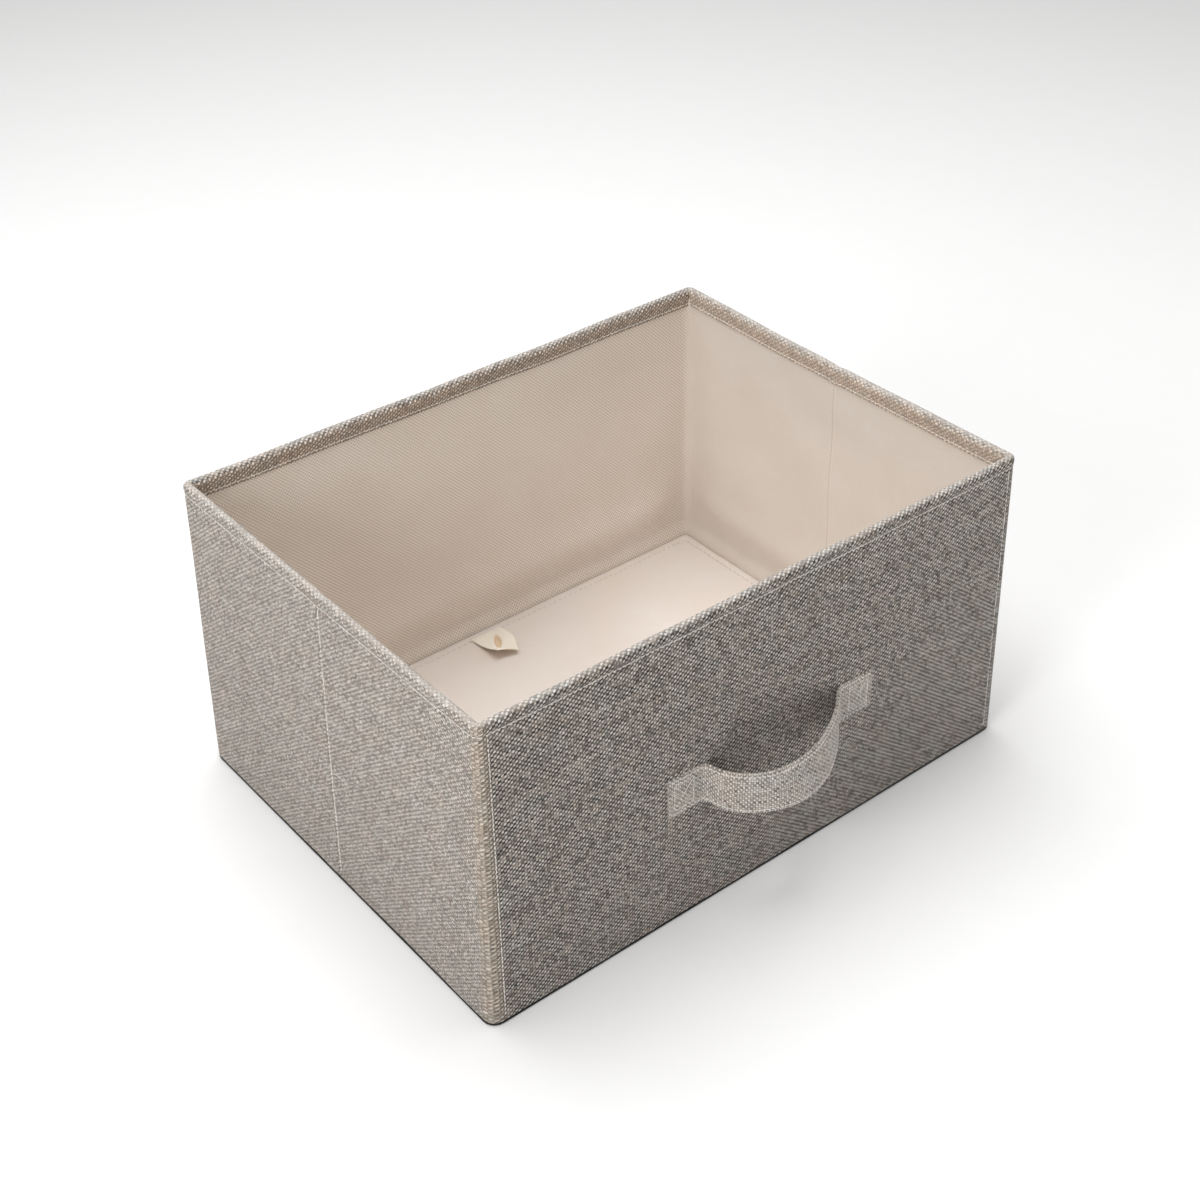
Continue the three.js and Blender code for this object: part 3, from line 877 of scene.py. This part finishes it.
def wall_boards():
    """The boards between cloth and lining, cut flat and held in the walls' slight bow."""
    leaf_edge = HALF_Y - 7 * MM
    wall_edge = HALF_X - 8 * MM
    panels = [
        ("board_panel_front", "board_front", 0, -wall_edge, wall_edge),
        ("board_panel_back", "board_back", 2, -wall_edge, wall_edge),
        ("board_leaf_right_front", "board_right_front", 1, -leaf_edge, -2 * MM),
        ("board_leaf_right_rear", "board_right_rear", 1, 2 * MM, leaf_edge),
        ("board_leaf_left_front", "board_left_front", 3, 2 * MM, leaf_edge),
        ("board_leaf_left_rear", "board_left_rear", 3, -leaf_edge, -2 * MM),
    ]
    heights = np.linspace(2.4 * MM, HEIGHT - 5.5 * MM, 26)
    for name, node, side, low, high in panels:
        columns = Columns().wall(side, np.linspace(low, high, 24)).ready()
        push = wall_push(columns, heights)
        outer, inner = (wall_points(columns, inset * MM, heights, push) for inset in (1.55, 3.1))
        loop = np.concatenate([outer, inner[:, ::-1]], axis=1)
        run = np.concatenate([columns.u, columns.u[::-1] + 3 * MM, columns.u[:1]])
        piece = grid_mesh(name, loop, lay_out(run, heights), closed=True)
        close_ends(piece, *loop.shape[:2])
        finish_piece(piece, BOARD, "shell", [node])


# ---------- lining and bottom


def lining_rows():
    """The lining from behind the hem down to under the base insert: (inset, height)."""
    low = HEIGHT - HEM_DEPTH
    rows = [(LINING_INSET - 0.2 * MM, height) for height in np.linspace(HEIGHT - 7 * MM, low, 4)]
    rows += [(LINING_INSET, height) for height in np.linspace(low - 2 * MM, 4 * MM, 72)]
    turn_in = [(0, 2.8), (0.5, 1.9), (1.5, 1.45), (4, 1.35), (12, 1.35)]
    rows += [(LINING_INSET + inset * MM, height * MM) for inset, height in turn_in]
    return np.array(rows, float)


def lining_belly(columns, height):
    """How far the slack lining stands in from the boards: a soft fold low down, then its foot."""
    v = height[:, None]
    u = columns.u
    free = smooth(1.0, 0.84, np.abs(columns.along))
    gather = smooth(3 * MM, 16 * MM, v) * smooth(HEIGHT - HEM_DEPTH, HEIGHT - 40 * MM, v)
    fold = 36 * MM + 3 * MM * ripple(u, 0, 0.2, 20)
    belly = LINING_FOLD * hump(v, fold, 13 * MM) + LINING_BELLY * hump(v, 105 * MM, 55 * MM)
    belly = belly + 0.5 * MM * ripple(u, 2 * v, 0.12, 21) + 0.2 * MM * ripple(u, v, 0.045, 22)
    foot = LINING_FOOT * (1 - smooth(2 * MM, 15 * MM, v))
    return np.clip(belly, -0.2 * MM, 3.2 * MM) * gather * free + foot + drag_folds(columns, v)


def drag_folds(columns, v):
    """Fine folds that fan out downwards from the hem at the lining's left back corner."""
    away = np.where(columns.side == 2, HALF_X * (1 - columns.along), FAR)
    below = np.maximum(HEIGHT - HEM_DEPTH - v, 0)
    distance = np.hypot(away, below)
    heading = np.arctan2(below, away)
    fan = hump(heading, 0.62, 0.28)
    fade = smooth(4 * MM, 16 * MM, distance) * (1 - smooth(30 * MM, 95 * MM, distance))
    folds = 0.5 + 0.5 * np.sin(heading * 42)
    return 0.75 * MM * folds * fan * fade


def lining():
    """The felt inside: one cloth round the bin, from behind the hem to under the base insert."""
    columns = ring_columns(3.5 * MM, 5)
    rows = lining_rows()
    inset, height = rows.T
    length = run_of(rows)
    below_hem = smooth(HEIGHT - HEM_DEPTH, HEIGHT - HEM_DEPTH - 3 * MM, height)
    sewn = smooth(3 * MM, 10 * MM, height) * below_hem
    ridge = hump(columns.from_fold, 0, 1.2 * MM) * sewn[:, None]
    push = wall_push(columns, height) - lining_belly(columns, height) - 0.7 * MM * ridge
    points = columns.points(inset + lean_in(height), height, np.full(len(height), LINING_RADIUS), push)
    uv = lay_out(np.append(columns.u, RING_LENGTH), -length)
    piece = grid_mesh("lining", points, uv, closed=True, flip=True)
    thicken(piece, 0.4 * MM)
    finish_piece(piece, LINING, "shell", [f"lining_{side}" for side in ("front", "back", "left", "right")])
    flat = (round(RING_LENGTH - 8 * LINING_INSET, 4), round(float(length[-1]), 4))


def plate_ring(half_x, half_y, radius, inset, height, count):
    """A closed row of points round a rounded rectangle. count is for each long side."""
    hx, hy = half_x - inset, half_y - inset
    r = max(radius - inset, 0.5 * MM)
    parts = []
    for turn, (run, out) in enumerate([(hx, hy), (hy, hx)] * 2):
        steps = count if turn % 2 == 0 else round(count * half_y / half_x)
        angle = turn * math.pi / 2
        direction = np.array([math.cos(angle), math.sin(angle)])
        normal = np.array([math.sin(angle), -math.cos(angle)])
        parts.append(np.linspace(r - run, run - r, steps)[:, None] * direction + out * normal)
        corner = (run - r) * direction + (out - r) * normal
        angles = angle - math.pi / 2 + np.linspace(0, math.pi / 2, 6)[1:-1]
        parts.append(corner + r * np.stack([np.cos(angles), np.sin(angles)], axis=-1))
    flat = np.concatenate(parts)
    return np.column_stack([flat, np.full(len(flat), height)])


def bottom_panel():
    """The dark panel under the bin, whose edge shows as a thin line below the cloth."""
    half_x, half_y = HALF_X + FOOT_OUTSET - 0.1 * MM, HALF_Y + FOOT_OUTSET - 0.1 * MM
    under = [(60, 0.0), (12, 0.0), (2, 0.0), (0.6, 0.05), (0.15, 0.3), (0, 0.6)]
    over = [(0.15, 0.9), (0.5, 1.1), (2, 1.2), (12, 1.25), (60, 1.25)]
    rings = [plate_ring(half_x, half_y, FOOT_RADIUS, inset * MM, z * MM, 90) for inset, z in under + over]
    rings = np.array(rings)
    index = np.arange(rings.shape[0] * rings.shape[1]).reshape(rings.shape[:2])
    faces = quads_between(index, np.roll(index, -1, axis=1)).tolist()
    faces += [index[0, ::-1].tolist(), index[-1].tolist()]
    piece = flat_piece("bottom_cloth", rings.reshape(-1, 3), faces)
    finish_piece(piece, BOTTOM, "shell", ["bottom_panel"])


# ---------- the base insert


def insert_top(x, y):
    """The height of the covered board's upper side: a soft flange, the seam's groove, then the board."""
    edge = np.minimum(INSERT_X - np.abs(x), INSERT_Y - np.abs(y))
    rise = smooth(SEAM_INSET + 0.3 * MM, SEAM_INSET + 1.9 * MM, edge)
    level = FLANGE_TOP + (INSERT_TOP - FLANGE_TOP) * rise
    level = level - 1.3 * MM * (1 - smooth(-0.4 * MM, 2.2 * MM, edge))
    level = level - 0.75 * MM * hump(edge, SEAM_INSET, 0.8 * MM)
    level = level + 0.25 * MM * (0.6 + 0.6 * ripple(x, y, 0.13, 31)) * rise
    pucker = 0.35 * MM * ripple(x + y, 0 * x, 0.009, 32) * hump(edge, SEAM_INSET - 1 * MM, 2.5 * MM)
    return level + pucker


def fine_places(half, spacing):
    """Places from one edge to the other, closer together beside the seam."""
    border = [0, 0.5, 1.1, 1.8, 2.8, 4.0, 5.2, 6.0, 6.5, 6.9, 7.3, 7.7, 8.2, 8.8, 9.6, 11.0, 13.0]
    border = np.array(border) * MM
    inner = half - border[-1] - spacing
    middle = np.linspace(-inner, inner, round(2 * inner / spacing))
    return np.concatenate([-half + border, middle, (half - border)[::-1]])


def round_corners(x, y):
    """Pulls the grid of the base cover in at its corners, to give it a rounded outline."""
    over_x = np.maximum(np.abs(x) - (INSERT_X - INSERT_RADIUS), 0)
    over_y = np.maximum(np.abs(y) - (INSERT_Y - INSERT_RADIUS), 0)
    reach = np.hypot(over_x, over_y)
    pull = 1 - np.where(reach > 0, np.maximum(over_x, over_y) / np.maximum(reach, 1e-9), 1)
    return np.sign(x) * (np.abs(x) - over_x * pull), np.sign(y) * (np.abs(y) - over_y * pull)


def edge_loop(grid):
    """The border of a grid of values, once round, counter-clockwise."""
    return np.concatenate([grid[0, :-1], grid[:-1, -1], grid[-1, :0:-1], grid[:0:-1, 0]])


def base_cover():
    """The felt cover round the base board, closed by its stitched edge."""
    x, y = np.meshgrid(fine_places(INSERT_X, 4 * MM), fine_places(INSERT_Y, 4 * MM))
    round_x, round_y = round_corners(x, y)
    top = np.stack([round_x, round_y, insert_top(x, y)], axis=-1)
    under = np.stack([round_x, round_y, np.full_like(x, INSERT_FOOT)], axis=-1)
    rim = edge_loop(top)
    outward = rim[:, :2] / np.array([INSERT_X, INSERT_Y])
    outward = np.where(np.abs(outward) > 0.985, np.sign(outward), 0)
    bulge = (rim + edge_loop(under)) / 2
    bulge[:, :2] += outward * 0.5 * MM

    index = np.arange(x.size).reshape(x.shape)
    cell = quads_between(index[:, :-1], index[:, 1:])
    ring = edge_loop(index)
    middle = 2 * x.size + np.arange(len(ring))
    ring_after, middle_after = np.roll(ring, -1), np.roll(middle, -1)
    walls = [
        np.stack([middle, middle_after, ring_after, ring], axis=-1),
        np.stack([ring + x.size, ring_after + x.size, middle_after, middle], axis=-1),
    ]
    faces = np.concatenate([cell, cell[:, ::-1] + x.size, *walls])
    points = np.concatenate([top.reshape(-1, 3), under.reshape(-1, 3), bulge])
    piece = flat_piece("base_cover", points, faces.tolist())
    finish_piece(piece, COVER, "insert", ["insert_cover_upper", "insert_cover_lower"])


def base_stitches():
    """The stitches through the base cover's edge."""
    line = plate_ring(INSERT_X, INSERT_Y, 9 * MM, SEAM_INSET, 0, 200)
    line[:, 2] = insert_top(line[:, 0], line[:, 1]) + 0.15 * MM
    line = np.concatenate([line, line[:1]])
    stitch_row(
        "base_stitches", line, UPWARDS, BASE_STITCH_PITCH, 3.0 * MM, 0.5 * MM,
        CREAM_THREAD, "insert", ["insert_thread"],
    )


# ---------- the pull tab


def tab_surface(s, w):
    """The middle of the curled tab: s is 0 at its seam and 1 at its free end, w is -1 to 1 across."""
    left = -TAB_HALF + 0.6 * MM * s
    right = TAB_HALF - 1.2 * MM * s - 7.2 * MM * smooth(0.45, 1.1, s)
    share = (w + 1) / 2
    x = TAB_X + left + (right - left) * share
    reach = (30 + 3.5 * share - 1.2 * np.sin(np.pi * share)) * MM
    y = TAB_ROOT - reach * s
    curl = (8.2 - 5.2 * share) * MM * s**2
    z = FLANGE_TOP + 0.9 * MM + 1.3 * MM * smooth(0, 0.16, s) + curl + 1.3 * MM * np.sin(np.pi * s) * share
    middle = PINCH_START - PINCH_SLANT * s
    oval = np.hypot((w - middle) / PINCH_WIDTH, (s - PINCH_PLACE) / PINCH_LENGTH)
    dent = 2.9 * MM * (1 - smooth(0.45, 1.0, oval))
    rim = 0.6 * MM * hump(w, middle - 0.4, 0.16) * hump(s, PINCH_PLACE, 0.25)
    return np.stack([x, y, z - dent + rim], axis=-1)


def pull_tab():
    """A folded strip of felt that leaves the seam and curls up at one side, with a pinch in its middle."""
    s = np.linspace(0, 1, 64)[:, None] + np.zeros((1, 61))
    w = np.sin(np.linspace(-1, 1, 61) * math.pi / 2)[None, :] + 0 * s
    middle = tab_surface(s, w)
    normal = unit(np.cross(np.gradient(middle, axis=1), -np.gradient(middle, axis=0)))
    normal *= np.sign(normal[..., 2:3])
    plump = (0.5 + 0.15 * smooth(0.85, 0.97, s))[..., None] * MM
    rounding = np.sqrt(np.clip(1 - (w**2 * 0.96) ** 6, 0.05, 1))[..., None]
    upper, lower = middle + normal * plump * rounding, middle - normal * plump * rounding
    lap = np.concatenate([upper, lower[:, ::-1]], axis=1)
    ends = np.concatenate([middle[-1:], middle[-1:, ::-1]], axis=1)
    tip = 0.35 * lap[-1:] + 0.65 * ends + np.array([0, -0.5, 0]) * MM
    lap = np.concatenate([lap, tip], axis=0)
    run = np.concatenate([w[0], w[0, ::-1] + 3, w[0, :1]]) * TAB_HALF
    down = np.append(s[:, 0], 1.05) * TAB_LENGTH
    piece = grid_mesh("pull_tab_loop", lap, lay_out(run, down), closed=True)
    close_ends(piece, *lap.shape[:2])
    finish_piece(piece, TAB, None, ["pull_tab"])
    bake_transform(piece)


def tab_stitches():
    """The bar of stitches that holds the pull tab."""
    line = tab_surface(np.full(12, 0.07), np.linspace(-0.92, 0.92, 12)) + np.array([0, 0, 0.55 * MM])
    stitch_row(
        "tab_stitches", line, UPWARDS, 2.6 * MM, 2.1 * MM, 0.26 * MM,
        CREAM_THREAD, "insert", ["tab_bar_stitch"],
    )


# ---------- the handle


def bezier(points, steps):
    """Points along a Bezier curve of any degree."""
    points = np.asarray(points, float)
    degree = len(points) - 1
    t = np.linspace(0, 1, steps)[:, None]
    shares = [math.comb(degree, i) * (1 - t) ** (degree - i) * t**i for i in range(degree + 1)]
    return sum(share * point for share, point in zip(shares, points))


def even(line, step):
    """The line again with its points a step apart, and how far along it they are."""
    run = run_of(line)
    places = np.linspace(0, run[-1], round(run[-1] / step) + 1)
    return np.stack([np.interp(places, run, line[:, k]) for k in range(line.shape[1])], axis=-1), places


def strap_line():
    """The strap's centre line from above: sewn flat, folded, bowed out and sewn flat again."""
    left, right = STRAP_LOW.x / MM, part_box("handle_end_right")[1].x / MM
    # Each stretch is a Bezier curve through points in millimetres: (along the wall, out of it)
    stretches = [
        [(left, 0), (-52.5, 0)],
        [(-52.5, 0), (-50.5, 0.2), (-49, 4)],
        [(-49, 4), (-44, 38), (6, 51), (51, 3.2)],
        [(51, 3.2), (54.5, 0.1), (57, 0)],
        [(57, 0), (right, 0)],
    ]
    pieces = [bezier(points, 60)[:-1] for points in stretches]
    line, places = even(np.concatenate([*pieces, [(right, 0)]]) * MM, 1.0 * MM)
    line[:, 1] = STRAP_FLAT - line[:, 1]
    return line, places


class Strap:
    """The strap's centre line, with how it curls, leans and waves at each place along it."""

    def __init__(self):
        self.line, self.places = strap_line()
        tangent = unit(np.gradient(self.line, axis=0))
        self.outward = np.stack([tangent[:, 1], -tangent[:, 0]], axis=-1)
        total = self.places[-1]
        from_end = np.minimum(self.places, total - self.places)
        self.narrow = 1 - 0.5 * (1 - smooth(-0.2 * MM, 1.2 * MM, from_end))
        self.inside = from_end > 1.5 * MM
        self.wave = 0.35 * MM * np.sin(self.places / total * 19 + 1.0) * smooth(20 * MM, 40 * MM, from_end)
        self.flare = 1 + 0.012 * np.sin(self.places / total * 31)
        self.cup = STRAP_CUP * smooth(24 * MM, 50 * MM, from_end)
        self.tilt = STRAP_TILT * hump(self.places, 0.52 * total, 0.2 * total)

    def points(self, across, depth):
        """Rows of points at each place. across is a share of the half width and depth is outwards."""
        each = (self.narrow, self.wave, self.flare, self.cup, self.tilt)
        narrow, wave, flare, cup, tilt = (values[:, None] for values in each)
        shift = depth * narrow - cup * across**2 - tilt * across
        flat = self.line[:, None] + self.outward[:, None] * shift[..., None]
        height = STRAP_HEIGHT + STRAP_HALF * across * flare * (0.985 + 0.015 * narrow) + wave
        return np.concatenate([flat, height[..., None]], axis=-1)


def strap_section():
    """The strap's section, once round: (share of the half width, share of the half thickness)."""
    edge = [(1.0, 0.0), (0.997, 0.35), (0.985, 0.65), (0.965, 0.86), (0.93, 0.98)]
    flat = [(k, 1.0) for k in (0.9, 0.87, 0.845, 0.82, 0.79, 0.76, 0.7, 0.6, 0.47, 0.33, 0.2, 0.07)]
    quarter = np.array(edge + flat)
    front = [quarter, quarter[::-1] * [-1, 1]]
    back = [quarter[1:] * [-1, -1], quarter[:0:-1] * [1, -1]]
    return np.concatenate(front + back)


def strap():
    """The strap in one piece, with its rows of edge stitches."""
    shape = Strap()
    section = strap_section()
    groove = hump(np.abs(section[:, 0]), STRAP_SEAM, 0.035)
    depth = section[:, 1] * (STRAP_THICKNESS / 2) * (1 - 0.35 * groove)
    points = shape.points(section[:, 0], depth)
    around = run_of(np.stack([section[:, 0] * STRAP_HALF, depth], axis=-1))
    around = np.append(around, around[-1] + 0.5 * MM)
    piece = grid_mesh("handle_strap", points, lay_out(around, shape.places)[..., ::-1], closed=True)
    close_ends(piece, *points.shape[:2])
    finish_piece(piece, STRAP, None, ["handle_end_left", "handle_grip", "handle_end_right"])
    blend_strap(piece)

    normals = np.column_stack([shape.outward, np.zeros(len(shape.outward))])
    for sign, name in ((1, "top"), (-1, "bottom")):
        row = shape.points(np.array([sign * STRAP_SEAM]), STRAP_THICKNESS / 2 * 0.78)[:, 0]
        stitches = stitch_row(
            f"strap_stitches_{name}", row[shape.inside], normals[shape.inside], 2.6 * MM, 2.3 * MM,
            0.32 * MM, PALE_THREAD, None, [f"grip_thread_{name}"],
        )
        blend_strap(stitches)


def blend_strap(piece):
    """Bakes the piece's transform into its points."""
    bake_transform(piece)


def box_stitches():
    """A stitched box with a cross in it through each end of the strap."""
    out = STRAP_FLAT - STRAP_THICKNESS / 2 + 0.05 * MM
    for name in ("left", "right"):
        low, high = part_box(f"box_stitch_{name}")
        left, right, bottom, top = low.x, high.x, low.z, high.z
        route = [(left, bottom), (left, top), (right, top), (right, bottom), (left, bottom),
                 (right, top), (right, top - 0.1 * MM), (right, bottom), (left, top)]
        line, _ = even(np.array([(x, out, z) for x, z in route]), 0.5 * MM)
        stitch_row(
            f"box_stitches_{name}", line, FORWARDS, 2.3 * MM, 2.0 * MM, 0.25 * MM,
            PALE_THREAD, "shell", [f"box_stitch_{name}"],
        )


# ---------- carried-over board


def insert_board():
    """The board inside the base cover keeps its CAD shape and gets its material."""
    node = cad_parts["insert_board"]
    node.data.materials.clear()
    node.data.materials.append(BOARD[0])


# ---------- stage


def camera():
    """A camera from the front left and above, as in the photograph."""
    azimuth, elevation, roll = math.radians(-38.5), math.radians(31.58), math.radians(-0.87)
    distance, side, rise = 3.05, -0.0056, 0.2376  # in lengths of the bin
    back = Vector((
        math.sin(azimuth) * math.cos(elevation),
        -math.cos(azimuth) * math.cos(elevation),
        math.sin(elevation),
    ))
    right = Vector((math.cos(azimuth), math.sin(azimuth), 0))
    up = back.cross(right)
    rolled_right = right * math.cos(roll) + up * math.sin(roll)
    rolled_up = up * math.cos(roll) - right * math.sin(roll)
    from_centre = side * rolled_right + rise * rolled_up + distance * back
    place = Vector((0, 0, HEIGHT / 2)) + 2 * HALF_X * from_centre
    lens = bpy.data.cameras.new("camera")
    lens.sensor_width = 36
    lens.lens = 59.2
    lens.shift_y = -0.12
    lens.clip_start = 0.01
    eye = bpy.data.objects.new("camera", lens)
    bpy.context.collection.objects.link(eye)
    rotation = Matrix((rolled_right, rolled_up, back)).transposed().to_4x4()
    eye.matrix_world = Matrix.Translation(place) @ rotation
    bpy.context.scene.camera = eye


def area_light(name, place, size, power):
    """A round soft light that points at the bin."""
    data = bpy.data.lights.new(name, "AREA")
    data.shape = "DISK"
    data.size = size
    data.energy = power
    lamp = bpy.data.objects.new(name, data)
    bpy.context.collection.objects.link(lamp)
    lamp.location = place
    direction = Vector((0, 0, 0.08)) - Vector(place)
    lamp.rotation_mode = "QUATERNION"
    lamp.rotation_quaternion = direction.to_track_quat("-Z", "Y")


def studio():
    """Soft light from the left, above and the right, over a plain pale floor."""
    world = bpy.data.worlds.new("studio")
    bpy.context.scene.world = world
    world.use_nodes = True
    background = world.node_tree.nodes["Background"]
    background.inputs[0].default_value = (1.0, 0.99, 0.98, 1)
    background.inputs[1].default_value = 0.36
    area_light("key", (-1.7, -0.5, 1.05), 0.85, 15.5)
    area_light("overhead", (0, 0.35, 1.75), 1.8, 28)
    area_light("fill", (1.8, -0.9, 0.5), 1.2, 3.6)
    size = 6.0
    corners = [(-size, -size, 0), (size, -size, 0), (size, size, 0), (-size, size, 0)]
    floor = new_piece("floor", corners, [(0, 1, 2, 3)])
    floor.location.z = -0.2 * MM
    floor.data.materials.append(floor_material("floor"))
    bpy.context.scene.view_settings.view_transform = "Standard"


camera()
studio()
outer_cloth()
rim_stitches()
wall_stitches()
wall_boards()
lining()
bottom_panel()
base_cover()
base_stitches()
pull_tab()
tab_stitches()
strap()
box_stitches()
insert_board()
